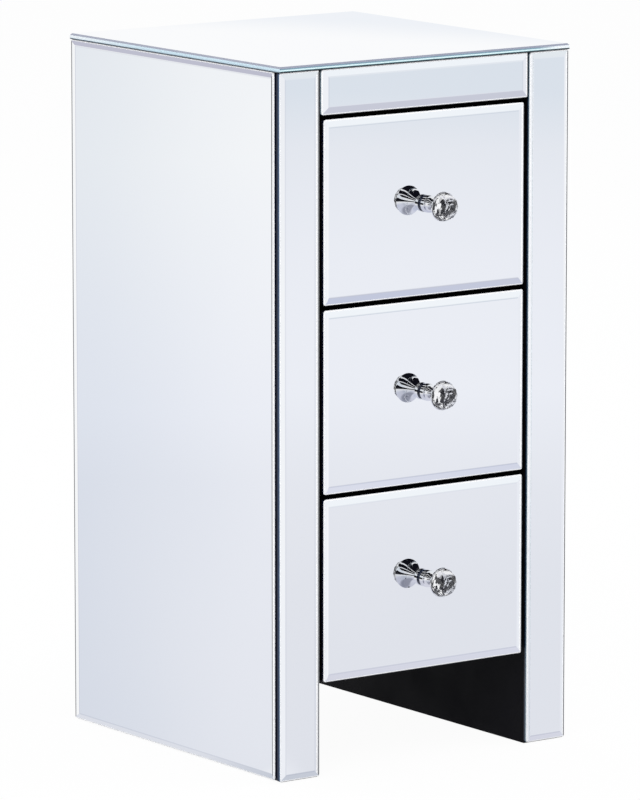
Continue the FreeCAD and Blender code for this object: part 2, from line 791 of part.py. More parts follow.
def write_parts():
    """Stop on any feature that failed, then write each piece to its own file."""
    doc.recompute()
    for feature in doc.Objects:
        if {"Invalid", "Error"} & set(feature.State):
            raise RuntimeError(f"{feature.Name} failed: {feature.State}")
    for piece in nodes:
        if piece.Shape.isNull() or not piece.Shape.isValid():
            raise RuntimeError(f"{piece.Label} has no valid shape")
    os.makedirs("parts", exist_ok=True)
    for piece in nodes:
        piece.Shape.exportStep(f"parts/{piece.Label}.step")
        print(f"{piece.Label}: {len(piece.Shape.Solids)} solids, {piece.Shape.Volume:.0f} mm3")


mirror_panes()
carcass_boards()
front_frame()
cabinet_runners()
drawers()
write_parts()
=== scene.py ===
"""Mirrored nightstand: bevelled mirror panes, crystal knobs, finishes and a stage on the packed frame."""

import math

import bmesh
import bpy
from bpy.props import FloatProperty, FloatVectorProperty, IntProperty, PointerProperty
from bpy.types import NodeSocket, Operator, Panel, PropertyGroup
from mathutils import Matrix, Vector


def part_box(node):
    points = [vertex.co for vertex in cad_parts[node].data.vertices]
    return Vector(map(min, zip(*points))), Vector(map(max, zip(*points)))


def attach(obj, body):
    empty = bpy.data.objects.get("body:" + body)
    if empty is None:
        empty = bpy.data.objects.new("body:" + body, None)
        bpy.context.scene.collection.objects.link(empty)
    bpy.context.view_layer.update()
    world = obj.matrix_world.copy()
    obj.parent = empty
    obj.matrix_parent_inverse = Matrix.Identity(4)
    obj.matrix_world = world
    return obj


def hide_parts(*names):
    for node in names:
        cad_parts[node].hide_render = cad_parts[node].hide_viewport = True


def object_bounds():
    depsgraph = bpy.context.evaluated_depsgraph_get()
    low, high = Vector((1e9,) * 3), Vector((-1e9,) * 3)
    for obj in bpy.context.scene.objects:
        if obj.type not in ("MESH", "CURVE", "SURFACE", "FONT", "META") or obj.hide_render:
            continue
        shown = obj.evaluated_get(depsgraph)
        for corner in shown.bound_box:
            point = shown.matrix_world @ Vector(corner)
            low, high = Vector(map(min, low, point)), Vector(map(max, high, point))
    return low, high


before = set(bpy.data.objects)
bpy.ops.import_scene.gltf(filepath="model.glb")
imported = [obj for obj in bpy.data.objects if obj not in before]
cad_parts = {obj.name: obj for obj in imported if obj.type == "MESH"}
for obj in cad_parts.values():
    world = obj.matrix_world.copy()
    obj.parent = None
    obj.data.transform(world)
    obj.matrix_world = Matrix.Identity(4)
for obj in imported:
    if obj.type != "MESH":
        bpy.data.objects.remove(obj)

bl_info = {
    "name": "Mirrored Nightstand",
    "version": (1, 0, 0),
    "blender": (4, 5, 0),
    "location": "View3D > Sidebar > Nightstand",
    "description": "Dresses the packed nightstand with mirror panes, crystal knobs, finishes and a stage",
    "category": "Object",
}

CAD_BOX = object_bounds()
DRAWERS = ("lower", "middle", "upper")
FORWARD = Vector((0, -1, 0))
LEFTWARD = Vector((-1, 0, 0))
UPWARD = Vector((0, 0, 1))
MM = 0.001
# greatest distance between points that count as one, and least cosine between directions that count as parallel
SAME_PLACE, PARALLEL = 1e-6, 0.99
WHITE = (1.0, 1.0, 1.0)


def length(name, description, default):
    """A size that the user can change, with its default in millimetres."""
    return FloatProperty(name=name, description=description, default=default * MM, min=0, precision=5,
                         unit="LENGTH")


def tint(name, description, default):
    """A linear colour that the user can change."""
    return FloatVectorProperty(name=name, description=description, default=default, subtype="COLOR", min=0, max=1)


class PaneSettings(PropertyGroup):
    """Sizes and colours of the mirror panes."""

    bevel_fall: length("Bevel fall", "Drop of the front panes' bevels", 1.4)
    side_fall: length("Side fall", "Drop of the side panes' bevels", 1.1)
    side_bevel: length("Side bevel", "Width of the bevels on the side panes", 5.2)
    back_extra: length("Back extra", "Extra width of the side panes' back bevels", 2.6)
    front_less: length("Front less", "How much narrower the side panes' front bevels are", 2.2)
    front_bevel: length("Front bevel", "Width of the bevels on the rail and the drawer panes", 6.5)
    stile_bevel: length("Stile bevel", "Width of the bevels on the stile panes", 5.5)
    polished_line: length("Polished line", "Width of the outermost line round each pane", 1.2)
    ground_line: length("Ground line", "Width of the white ground line inside it", 1.1)
    stile_line: length("Stile line", "Extra width of the stiles' grey line", 1.0)
    stile_white: length("Stile white", "Width of the stiles' white line", 1.8)
    drawer_white: length("Drawer white", "Width of the drawers' white line", 2.0)
    left_less: length("Left less", "How much narrower the left bevels of the drawers and right stile are", 2.2)
    rim: length("Rim", "Width of the arris round each pane", 0.4)
    nip: length("Nip", "How far the corners of each pane are rounded", 2.0)
    crease: length("Crease", "Half the width of the crease inside a bevel", 0.6)
    top_arris: length("Top arris", "Width of the ground arris of the top pane", 1.5)
    silver: tint("Silver", "Upright mirrors", (0.925, 0.935, 0.948))
    silver_shade: tint("Silver shade", "Cooler patches in the silver", (0.905, 0.92, 0.94))
    top_silver: tint("Top silver", "The top mirror", (0.9, 0.915, 0.945))
    # painted reflection: the top mirror's silver is darkened towards its back right corner
    top_painted_shade: tint("Top shade", "Cooler back corner of the top mirror", (0.68, 0.74, 0.84))
    # painted shade: the creases get a darker copy of the silver, which draws them as shaded lines
    crease_painted_silver: tint("Crease silver", "Creases between face and bevel", (0.82, 0.835, 0.865))
    crease_painted_shade: tint("Crease shade", "Cooler patches in the creases", (0.79, 0.81, 0.85))
    line_white: tint("Line white", "Ground lines round the panes", (0.97, 0.975, 0.985))
    # painted shade: the polished outer lines are drawn as flat dark greys, one per kind of pane
    line_painted_grey: tint("Line grey", "Polished lines of the cabinet's panes", (0.075, 0.078, 0.09))
    line_painted_dark: tint("Line dark", "Polished lines of the drawers' panes", (0.17, 0.172, 0.19))
    line_stile_painted: tint("Line stile", "Polished lines of the stiles and the rail", (0.25, 0.256, 0.265))
    # painted reflection: the side panes' head bevels get a darker lilac copy of the silver
    head_bevel_painted_silver: tint("Lilac silver", "Head bevels of the side panes", (0.52, 0.525, 0.625))
    head_bevel_painted_shade: tint("Lilac shade", "Cooler patches in the head bevels", (0.49, 0.495, 0.6))


class KnobSettings(PropertyGroup):
    """Sizes and colours of the knobs."""

    foot: length("Foot", "Radius of the foot on the drawer pane", 7.2)
    neck: length("Neck", "Radius of the neck", 3.6)
    cup: length("Cup", "Radius of the cup's rim", 12.5)
    lip: length("Lip", "Width of the cup's lip", 0.6)
    seat: length("Seat", "Radius of the crystal's seat", 5.0)
    gasket: length("Gasket", "Thickness of the washer under the foot", 2.0)
    gasket_step: length("Gasket step", "How far the washer stands back from the foot", 0.8)
    facets: IntProperty(name="Facets", description="Facets round the crystal", default=12, min=6, max=48)
    sides: IntProperty(name="Sides", description="Steps round the turned base", default=72, min=12, max=256)
    chrome: tint("Chrome", "Polished chrome", (0.86, 0.865, 0.885))
    chrome_shade: tint("Chrome shade", "Handled patches on the chrome", (0.78, 0.79, 0.82))
    washer: tint("Washer", "Dark washer under the foot", (0.008, 0.012, 0.03))
    washer_light: tint("Washer light", "Worn spots of the washer", (0.03, 0.04, 0.08))
    crystal: tint("Crystal", "Clear crystal", (0.985, 0.99, 1.0))
    crystal_shade: tint("Crystal shade", "Denser veins in the crystal", (0.94, 0.95, 0.975))


class FinishSettings(PropertyGroup):
    """Colours of the boards and the metalwork."""

    paint: tint("Paint", "Matt black paint on the boards", (0.0042, 0.004, 0.0054))
    paint_light: tint("Paint light", "High spots of the black paint", (0.0075, 0.0072, 0.0092))
    hardboard: tint("Hardboard", "Painted back panel", (0.011, 0.011, 0.0125))
    foil: tint("Foil", "Black foil inside the drawers", (0.012, 0.0118, 0.0135))
    foil_light: tint("Foil light", "Embossed grain of the foil", (0.026, 0.0255, 0.028))
    dust: tint("Dust", "Settled dust", (0.2, 0.2, 0.205))
    pine: tint("Pine", "Early wood of the battens", (0.56, 0.395, 0.225))
    pine_dark: tint("Pine dark", "Late wood of the battens", (0.36, 0.205, 0.095))
    zinc: tint("Zinc", "Zinc plating", (0.63, 0.64, 0.66))
    zinc_dark: tint("Zinc dark", "Darker crystals of the plating", (0.47, 0.48, 0.505))
    steel: tint("Steel", "Plain and polished steel", (0.72, 0.72, 0.735))
    steel_dark: tint("Steel dark", "Polishing marks on the steel", (0.58, 0.585, 0.61))


class StageSettings(PropertyGroup):
    """Camera, floor and light."""

    azimuth: FloatProperty(name="Azimuth", description="Camera's turn round the nightstand, from the front",
                           default=math.radians(-35.75), subtype="ANGLE")
    elevation: FloatProperty(name="Elevation", description="Camera's height above the horizon",
                             default=math.radians(9.65), subtype="ANGLE")
    distance: length("Distance", "From the cabinet's middle to the camera", 5527.0)
    lens: FloatProperty(name="Lens", description="Focal length in millimetres", default=290.1, min=1)
    aim: FloatVectorProperty(name="Aim", description="Camera's shift to its right and up",
                             size=2, default=(0.0017, -0.0117), unit="LENGTH", precision=4)
    floor: tint("Floor", "Pale floor", (0.94, 0.94, 0.945))
    # painted shade on the floor as the mirrors see it: behind the nightstand, steeply in front, and right below the
    # knobs
    floor_painted_shade: tint("Floor shade", "Floor behind, seen in the side panes", (0.86, 0.885, 0.917))
    floor_steep_painted_shade: tint("Floor side", "Floor seen steeply in the bevels of the sides", (0.77, 0.785, 0.845))
    floor_below_painted_shade: tint("Floor below", "Floor seen from right above in the knobs", (0.34, 0.35, 0.42))
    card: tint("Card", "Dark cards over the nightstand", (0.006, 0.006, 0.01))
    ambient: tint("Ambient", "Soft light from all round", (0.6, 0.605, 0.62))
    key_power: FloatProperty(name="Key power", description="Power of the large lamp", default=66.0, min=0,
                             unit="POWER")


def put(kind, inputs=None, tree=None, **settings):
    """Add a node to a tree, or to that of its inputs, set its options, and link or set its inputs."""
    inputs = inputs or {}
    links = {key: value for key, value in inputs.items() if isinstance(value, NodeSocket)}
    tree = tree or next(iter(links.values())).id_data
    made = tree.nodes.new(f"ShaderNode{kind}")
    for key, value in settings.items():
        setattr(made, key, value)
    for key, value in inputs.items():
        if key in links:
            tree.links.new(value, made.inputs[key])
        else:
            made.inputs[key].default_value = value
    return made


def wire(node, **links):
    """Link values to a node's sockets."""
    for key, socket in links.items():
        node.id_data.links.new(socket, node.inputs[key.replace("_", " ")])


def mix(share, first, second, blend="MIX"):
    """Colour between two colours."""
    colours = [c if isinstance(c, NodeSocket) else (*c[:3], 1.0) for c in (first, second)]
    return put("Mix", {0: share, 6: colours[0], 7: colours[1]}, data_type="RGBA", blend_type=blend).outputs[2]


def calc(operation, *values):
    """One step of arithmetic."""
    return put("Math", dict(enumerate(values)), operation=operation).outputs[0]


def times(first, second):
    """Product of two values."""
    return calc("MULTIPLY", first, second)


def weighted(first, share, second, other_share):
    """Sum of two values, each times its share."""
    return calc("ADD", times(first, share), times(second, other_share))


def parts(vector):
    """The three components of a vector."""
    return put("SeparateXYZ", {0: vector}).outputs


def spread(value, low, high, to_low=0.0, to_high=1.0, smooth=True):
    """Map a value from one range to another."""
    kind = "SMOOTHSTEP" if smooth else "LINEAR"
    ranges = {"Value": value, "From Min": low, "From Max": high, "To Min": to_low, "To Max": to_high}
    return put("MapRange", ranges, interpolation_type=kind).outputs[0]


def noise(place, scale, detail=3.0, roughness=0.55, distortion=0.0):
    """Cloudy value about one half."""
    values = {"Vector": place, "Scale": scale, "Detail": detail, "Roughness": roughness, "Distortion": distortion}
    return put("TexNoise", values).outputs[0]


def ramp(share, stops):
    """Colour that runs through the given stops."""
    made = put("ValToRGB", {0: share})
    steps = made.color_ramp.elements
    while len(steps) < len(stops):
        steps.new(1.0)
    for step, (where, *colour) in zip(steps, stops):
        step.position = where
        step.color = (*colour, 1.0)
    return made.outputs[0]


def stretched(place, scale):
    """Place with its axes scaled."""
    return put("Mapping", {"Vector": place, "Scale": scale}).outputs[0]


def bumped(height, depth):
    """Normal from a height, with the depth in millimetres."""
    return put("Bump", {"Height": height, "Distance": depth * MM, "Strength": 1.0}).outputs[0]


def effect(value, default):
    """Make a function of a place and one value a shared shader group, which is built on its first use."""
    def decorate(build):
        def place_group(place, amount):
            tree = bpy.data.node_groups.get(build.__name__)
            if not tree:
                tree = bpy.data.node_groups.new(build.__name__, "ShaderNodeTree")
                add = tree.interface.new_socket
                add(name="Place", in_out="INPUT", socket_type="NodeSocketVector")
                add(name=value, in_out="INPUT", socket_type="NodeSocketFloat").default_value = default
                given = tree.nodes.new("NodeGroupInput").outputs
                results = build(given["Place"], given[value])
                for name in results:
                    add(name=name, in_out="OUTPUT", socket_type="NodeSocketFloat")
                wire(tree.nodes.new("NodeGroupOutput"), **results)
            return put("Group", {"Place": place, value: amount}, place.id_data, node_tree=tree).outputs
        return place_group
    return decorate


@effect("Scale", 900.0)
def fine_grain(place, scale):
    """Sprayed or pressed surface: a shade and a height of fine grain."""
    grain = noise(place, scale, 4.0, 0.6)
    broad = noise(place, times(scale, 0.02))
    return {"Shade": spread(weighted(grain, 0.55, broad, 0.45), 0.34, 0.68), "Height": grain}


@effect("Amount", 0.1)
def settled_dust(place, amount):
    """Mask of dust that settles on faces that look up."""
    up = parts(put("NewGeometry", tree=place.id_data).outputs["Normal"])[2]
    specks = spread(noise(place, 2600.0, 2.0), 0.55, 0.75)
    clouds = spread(noise(place, 22.0, 4.0), 0.35, 0.75)
    film = times(weighted(specks, 0.6, clouds, 0.5), spread(up, 0.3, 0.95))
    return {"Mask": times(film, amount)}


@effect("Scale", 14.0)
def handled_haze(place, scale):
    """Faint smears and specks on polished glass and metal, and broad changes of tone."""
    smear = noise(stretched(place, (1.0, 1.0, 0.35)), scale, 4.0, 0.6, 0.8)
    speck = noise(place, times(scale, 130.0), 1.0)
    tone = noise(place, times(scale, 0.25), 2.0, 0.45)
    return {"Haze": weighted(spread(smear, 0.5, 0.8), 0.7, spread(speck, 0.68, 0.8), 0.5),
            "Tone": spread(tone, 0.3, 0.7)}


@effect("Scale", 900.0)
def drawn_lines(place, scale):
    """Lines that a drawing or polishing tool leaves along one direction."""
    coarse = noise(place, scale, 2.0, 0.7)
    fine = noise(place, times(scale, 3.7), 2.0, 0.7)
    return {"Lines": weighted(coarse, 0.6, fine, 0.4)}


@effect("Depth", 0.5)
def glass_depth(place, depth):
    """Glass edge from its silvered back to its lit front, slightly uneven along its length."""
    streak = noise(place, 60.0)
    shift = times(calc("SUBTRACT", streak, 0.5), 0.06)
    return {"Share": calc("ADD", depth, shift), "Streak": streak}


def finish_named(name, **constants):
    """Empty material with its Principled shader and the piece's own coordinates."""
    made = bpy.data.materials.new(name)
    made.use_nodes = True
    shader = made.node_tree.nodes["Principled BSDF"]
    for key, value in constants.items():
        shader.inputs[key.replace("_", " ")].default_value = value
    return made, shader, put("TexCoord", tree=made.node_tree).outputs["Object"]


def polished_finish(name, pale, shade, scale, roughness, corner=None, wave=0.0, **constants):
    """Polished glass or metal: faint smears, darker random patches, or a painted shade growing towards a corner."""
    made, shader, place = finish_named(name, **constants)
    film = handled_haze(place, scale)
    share = film["Tone"]
    # given a corner, the darker tone is a painted shade that grows towards it and stands in for a darker reflection
    if corner:
        sides = parts(place)
        drift = calc("MULTIPLY_ADD", share, 0.06, calc("MULTIPLY_ADD", sides[0], PAINTED_SHADE_SLANT, sides[1]))
        share = spread(drift, 0.02, PAINTED_SHADE_SLANT * corner.x + 0.4 * corner.y)
    wire(shader, Base_Color=mix(share, pale, shade), Roughness=spread(film["Haze"], 0.0, 1.0, *roughness))
    if wave:
        wire(shader, Normal=bumped(noise(place, 7.0, 1.0), wave))
    return made


# how much faster the painted shade grows to the right than to the back
PAINTED_SHADE_SLANT = 1.8


def mirror_finish(name, silver, shade, corner=None):
    """Silvered float glass with the slight wave of the sheet."""
    return polished_finish(name, silver, shade, 12.0, (0.008, 0.05), corner, 0.04, Metallic=1.0)


def ground_finish(name, pale, dim, scale=2400.0, roughness=(0.28, 0.46), bump=0.03):
    """Finely ground glass, or another fine matt grain."""
    made, shader, place = finish_named(name)
    grain = fine_grain(place, scale)
    wire(shader, Base_Color=mix(grain["Shade"], pale, dim),
         Roughness=spread(grain["Height"], 0.3, 0.7, *roughness))
    if bump:
        wire(shader, Normal=bumped(grain["Height"], bump))
    return made


def edge_finish(name, axis, back, front, stops, painted_light_end=None, shine=0.5):
    """Glass edge: its tint with painted shade at the back, painted light at the front and maybe towards one end."""
    made, shader, place = finish_named(name, Specular_IOR_Level=shine)
    sides = parts(place)
    ends = (0, 1) if back < front else (1, 0)
    depth = spread(calc("ABSOLUTE", sides[axis]), min(back, front), max(back, front), *ends, False)
    glass = glass_depth(place, depth)
    colour = ramp(glass["Share"], stops)
    # painted light pales the edge towards one end
    if painted_light_end:
        run, start, end = painted_light_end
        pale = times(spread(sides[run], start, end), spread(depth, 0.2, 0.3))
        colour = mix(pale, colour, PALE_END_PAINTED_LIGHT)
    wire(shader, Base_Color=colour, Roughness=spread(glass["Streak"], 0.3, 0.7, 0.1, 0.24))
    return made


def painted_finish(name, dark, light, dust, scale, bump, dusty):
    """Black paint with a fine sprayed texture and a little dust."""
    made, shader, place = finish_named(name, Specular_IOR_Level=0.06)
    grain = fine_grain(place, scale)
    film = settled_dust(place, dusty)
    paint = mix(grain["Shade"], dark, light)
    wire(shader, Base_Color=mix(film["Mask"], paint, dust), Roughness=spread(grain["Shade"], 0.0, 1.0, 0.53, 0.69),
         Normal=bumped(grain["Height"], bump))
    return made


def foil_finish(name, dark, light, dust, grain_axis):
    """Black foil with an embossed wood grain."""
    made, shader, place = finish_named(name, Specular_IOR_Level=0.35)
    run = [90.0, 90.0, 90.0]
    run[grain_axis] = 5.0
    pores = noise(stretched(place, run), 9.0, 5.0, 0.65, 0.6)
    film = settled_dust(place, 0.06)
    foil = mix(spread(pores, 0.38, 0.66), dark, light)
    wire(shader, Base_Color=mix(film["Mask"], foil, dust), Roughness=spread(pores, 0.3, 0.7, 0.34, 0.52),
         Normal=bumped(pores, 0.12))
    return made


def pine_finish(pale, dark):
    """Raw softwood with its year rings along the batten."""
    made, shader, place = finish_named("raw_pine")
    waves = {"Vector": stretched(place, (1.0, 0.06, 1.0)), "Scale": 55.0, "Distortion": 5.5, "Detail": 3.0,
             "Detail Scale": 1.6}
    rings = put("TexWave", waves, bands_direction="X").outputs[1]
    fibre = drawn_lines(stretched(place, (1.0, 0.04, 1.0)), 1500.0)["Lines"]
    share = weighted(spread(rings, 0.25, 1.0), 0.7, fibre, 0.3)
    wire(shader, Base_Color=mix(share, pale, dark), Roughness=spread(fibre, 0.3, 0.7, 0.55, 0.75),
         Normal=bumped(fibre, 0.15))
    return made


def zinc_finish(name, pale, dark, run, scale):
    """Zinc plating: small crystals over the lines of the drawn strip."""
    made, shader, place = finish_named(name, Metallic=1.0)
    spangle = put("TexVoronoi", {"Vector": place, "Scale": 420.0}).outputs["Color"]
    lines = drawn_lines(stretched(place, run), scale)["Lines"]
    value = put("SeparateColor", {0: spangle}).outputs[0]
    share = weighted(value, 0.5, lines, 0.5)
    wire(shader, Base_Color=mix(share, pale, dark), Roughness=spread(share, 0.2, 0.8, 0.24, 0.42),
         Normal=bumped(lines, 0.04))
    return made


def enter(mode):
    """Switch to edit mode or to object mode."""
    bpy.ops.object.mode_set(mode=mode)


def clear_selection():
    """Leave edit mode and deselect every object."""
    if bpy.context.mode != "OBJECT":
        enter("OBJECT")
    bpy.ops.object.select_all(action="DESELECT")


def settle(name):
    """Name the new piece and put its place in its mesh."""
    piece = bpy.context.active_object
    piece.name = name
    piece.data.name = name
    bpy.ops.object.transform_apply(location=True, rotation=True, scale=True)
    return piece


def slab(name, low, high):
    """Block between two corners."""
    clear_selection()
    bpy.ops.mesh.primitive_cube_add(size=1.0, location=(low + high) / 2, scale=high - low)
    return settle(name)


def pick(piece, kind, test):
    """In edit mode, select the faces or edges that pass the test."""
    bpy.ops.mesh.select_mode(type=kind)
    bpy.ops.mesh.select_all(action="DESELECT")
    shape = bmesh.from_edit_mesh(piece.data)
    shape.normal_update()
    found = [part for part in (shape.faces if kind == "FACE" else shape.edges) if test(part)]
    if not found:
        raise RuntimeError(f"{piece.name}: nothing to select")
    for part in found:
        part.select_set(True)
    bmesh.update_edit_mesh(piece.data)


def bevel_edges(piece, offset, segments, test):
    """In edit mode, bevel the edges that pass the test."""
    pick(piece, "EDGE", test)
    bpy.ops.mesh.bevel(offset=offset, segments=segments, affect="EDGES")


def lies_at(edge, direction, height):
    """Whether both ends of an edge lie at a height along a direction."""
    return all(abs(point.co.dot(direction) - height) < SAME_PLACE for point in edge.verts)


def runs_along(edge, direction):
    """Whether an edge is parallel to a direction."""
    return abs((edge.verts[0].co - edge.verts[1].co).normalized().dot(direction)) > PARALLEL


def dress(piece, materials, choose):
    """Give each face the material that the function picks for its normal and place."""
    for material in materials:
        piece.data.materials.append(material)
    for face in piece.data.polygons:
        face.material_index = choose(face)


def stand_for(piece, node, body):
    """Let the piece replace its solid and ride on its body."""
    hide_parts(node)
    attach(piece, body)


def copied(piece, name, shift):
    """Copy of a piece with its own mesh, moved to its place."""
    clear_selection()
    piece.select_set(True)
    bpy.context.view_layer.objects.active = piece
    bpy.ops.object.duplicate()
    bpy.ops.transform.translate(value=shift)
    return settle(name)


def in_every_drawer(first, title, kind):
    """Let a piece of the lowest drawer and copies of it stand for the same solid of each drawer."""
    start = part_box(f"lower_{kind}")[0]
    for name in DRAWERS:
        node = f"{name}_{kind}"
        piece = first if name == "lower" else copied(first, f"{name}_{title}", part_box(node)[0] - start)
        stand_for(piece, node, f"{name}_drawer")


def bevelled_pane(name, node, facing, bevel, fall, lines, settings):
    """Pane with a raised face and four bevels, each with its outer lines, and polished creases."""
    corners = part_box(node)
    crown = max(corner.dot(facing) for corner in corners)
    piece = slab(name, *(corner - facing * fall if corner.dot(facing) == crown else corner for corner in corners))
    enter("EDIT")
    pick(piece, "FACE", lambda face: face.normal.dot(facing) > PARALLEL)
    for strip in (*lines, bevel - sum(lines)):
        bpy.ops.mesh.inset(thickness=strip, depth=fall * strip / bevel, use_even_offset=True)
    bevel_edges(piece, settings.nip, 2, lambda edge: runs_along(edge, facing))
    bevel_edges(piece, settings.rim, 1, lambda edge: lies_at(edge, facing, crown - fall))
    bevel_edges(piece, settings.crease, 2, lambda edge: lies_at(edge, facing, crown))
    enter("OBJECT")
    return piece


# how far a crease may lie beyond its bevel and below its face
CREASE_REACH, CREASE_DROP = 2 * MM, 0.2 * MM


def move_crease(piece, facing, towards, bevel, shift):
    """Move the crease on one side of a pane, and so change the width of the bevel there."""
    crown = max(point.co.dot(facing) for point in piece.data.vertices)
    border = max(point.co.dot(towards) for point in piece.data.vertices) - bevel - CREASE_REACH
    enter("EDIT")
    pick(piece, "EDGE", lambda edge: all(point.co.dot(facing) > crown - CREASE_DROP
                                         and point.co.dot(towards) > border for point in edge.verts))
    bpy.ops.transform.translate(value=towards * shift)
    enter("OBJECT")


# number of each finish on a pane: front and bevels, white line, edge, back, polished line, crease, and the one that
# only some panes have
FRONT, LINE, EDGE, BACK, POLISHED, CREASE, SPECIAL = range(7)
# cosine of the angle between a face and the front of its pane, up to which it is part of the back, of the edge, of
# the arris, of a bevel or of a crease
BACK_TURN, EDGE_TURN, ARRIS_TURN, BEVEL_TURN, CREASE_TURN = -0.9, 0.15, 0.85, 0.98, 0.9997


def pane_zone(node, facing, lines):
    """Chooser of the finish of a pane's faces, by their turn and their distance from its borders."""
    low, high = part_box(node)
    on_side = abs(facing.x) > 0.5
    across = 1 if on_side else 0
    grey_end, white_end = sum(lines[:-1]), sum(lines)

    def choose(face):
        turn = face.normal.dot(facing)
        if turn < EDGE_TURN:
            return BACK if turn < BACK_TURN else EDGE
        foot, head = face.center.z - low.z, high.z - face.center.z
        near, far = face.center[across] - low[across], high[across] - face.center[across]
        if far <= min(near, foot, head) and far < white_end:
            return POLISHED if on_side or far < grey_end else LINE
        if not on_side and turn < ARRIS_TURN and foot <= min(near, head):
            return POLISHED
        if min(near, far, foot, head) < lines[0]:
            return LINE
        return CREASE if BEVEL_TURN < turn < CREASE_TURN else FRONT
    return choose


def plain_sides(zone):
    """Chooser that leaves the upright creases silver."""
    return lambda face: FRONT if zone(face) == CREASE and abs(face.normal.x) > abs(face.normal.z) else zone(face)


def shared(name, make, *values):
    """Finish that several pieces share, made on its first use."""
    return bpy.data.materials.get(name) or make(name, *values)


def dimmed(colour, share):
    """Colour darkened to a share."""
    return tuple(share * part for part in colour)


def backing_finish():
    """Grey paint over the silver on the back of the panes."""
    return shared("mirror_backing", ground_finish, (0.06, 0.063, 0.067), (0.1, 0.104, 0.108), 700.0, (0.5, 0.7), 0.0)


def pane_finishes(settings, edge, line, *special):
    """Finishes of an upright pane in the order of their numbers."""
    return (shared("silvered_mirror", mirror_finish, settings.silver, settings.silver_shade),
            shared("ground_line", ground_finish, settings.line_white, dimmed(settings.line_white, 0.93)),
            edge, backing_finish(), line,
            # the creases take a darker silver as painted shade
            shared("painted_shade_crease", mirror_finish, settings.crease_painted_silver, settings.crease_painted_shade), *special)


def line_finish(name, colour):
    """Outermost line of a pane in a flat grey, painted shade for what its polished glass reflects."""
    return shared(name, ground_finish, colour, dimmed(colour, 0.8))


# on the side panes: least tilt of an upright crease, greatest tilt of the back crease, and least of the head bevel
UPRIGHT_TILT, BACK_TILT, HEAD_TILT = 0.02, 0.085, 0.12


class NIGHTSTAND_OT_side_panes(Operator):
    """Model the two bevelled side mirrors"""

    bl_idname = "nightstand.side_panes"
    bl_label = "Side Panes"

    def execute(self, context):
        settings = context.scene.nightstand_panes
        inner, outer = (corner.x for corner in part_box("right_side_mirror"))
        # the side panes' head bevels take a darker lilac silver, a painted reflection
        finishes = pane_finishes(settings, edge_finish("side_glass_edge", 0, inner, outer, SHADED_EDGE_PAINTED),
                                 line_finish("polished_line", settings.line_painted_grey),
                                 mirror_finish("side_head_bevel_painted_shade", settings.head_bevel_painted_silver, settings.head_bevel_painted_shade))
        lines = (settings.polished_line, settings.ground_line)
        for side, facing in (("left", LEFTWARD), ("right", -LEFTWARD)):
            node = f"{side}_side_mirror"
            piece = bevelled_pane(f"{side}_side_pane", node, facing, settings.side_bevel, settings.side_fall,
                                  lines, settings)
            move_crease(piece, facing, -FORWARD, settings.side_bevel, -settings.back_extra)
            move_crease(piece, facing, FORWARD, settings.side_bevel, settings.front_less)
            zone = pane_zone(node, facing, lines)

            # the upward head bevel and the back creases take the lilac silver, a painted reflection
            def with_head(face, zone=zone):
                found, tilt = zone(face), face.normal.y
                if found == CREASE and abs(tilt) > UPRIGHT_TILT:
                    return SPECIAL if 0 < tilt < BACK_TILT else FRONT
                return SPECIAL if found == FRONT and face.normal.z > HEAD_TILT else found

            dress(piece, finishes, with_head)
            stand_for(piece, node, "carcass")
        return {"FINISHED"}


class NIGHTSTAND_OT_frame_panes(Operator):
    """Model the bevelled mirrors of the stiles and the top rail"""

    bl_idname = "nightstand.frame_panes"
    bl_label = "Stile and Rail Panes"

    def execute(self, context):
        settings = context.scene.nightstand_panes
        low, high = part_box("left_stile_mirror")
        # the outer lines take flat greys, painted shade for what the polished glass reflects
        pale = line_finish("stile_painted_line", settings.line_stile_painted)
        dark = line_finish("polished_line", settings.line_painted_grey)
        # glass edges coloured with painted shade at the back and painted light at the front
        edge = edge_finish("frame_glass_edge", 1, -high.y, -low.y, OPEN_EDGE_PAINTED)
        corner = edge_finish("corner_glass_edge", 1, -high.y, -low.y, CORNER_EDGE_PAINTED, shine=0.12)
        outer, inner = settings.polished_line, settings.ground_line
        panes = (("left_stile", settings.stile_bevel, (outer, settings.stile_line, settings.stile_white), pale),
                 ("right_stile", settings.stile_bevel, (outer, 0.4 * settings.stile_line, inner), dark),
                 ("top_rail", settings.front_bevel, (outer, inner), pale))
        for name, bevel, lines, grey in panes:
            node = f"{name}_mirror"
            piece = bevelled_pane(f"{name}_pane", node, FORWARD, bevel, settings.bevel_fall, lines, settings)
            zone = pane_zone(node, FORWARD, lines)
            if name == "right_stile":
                move_crease(piece, FORWARD, LEFTWARD, bevel, settings.left_less)
                zone = plain_sides(zone)

            def with_corner(face, zone=zone):
                found = zone(face)
                side = found == EDGE or face.normal.x < -0.5
                return SPECIAL if side and abs(face.center.x) > -low.x - settings.nip else found

            dress(piece, pane_finishes(settings, edge, grey, corner), with_corner)
            stand_for(piece, node, "carcass")
        return {"FINISHED"}


class NIGHTSTAND_OT_drawer_panes(Operator):
    """Model the bevelled mirrors of the three drawer fronts"""

    bl_idname = "nightstand.drawer_panes"
    bl_label = "Drawer Panes"

    def execute(self, context):
        settings = context.scene.nightstand_panes
        low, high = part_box("lower_front_mirror")
        # the drawer panes' glass edge and outer line are coloured with painted shade
        finishes = pane_finishes(settings, edge_finish("drawer_glass_edge", 1, -high.y, -low.y, SHADED_EDGE_PAINTED),
                                 line_finish("drawer_painted_line", settings.line_painted_dark))
        lines = (settings.polished_line, settings.drawer_white)
        first = bevelled_pane("lower_drawer_pane", "lower_front_mirror", FORWARD, settings.front_bevel,
                              settings.bevel_fall, lines, settings)
        move_crease(first, FORWARD, LEFTWARD, settings.front_bevel, settings.left_less)
        dress(first, finishes, plain_sides(pane_zone("lower_front_mirror", FORWARD, lines)))
        in_every_drawer(first, "drawer_pane", "front_mirror")
        return {"FINISHED"}


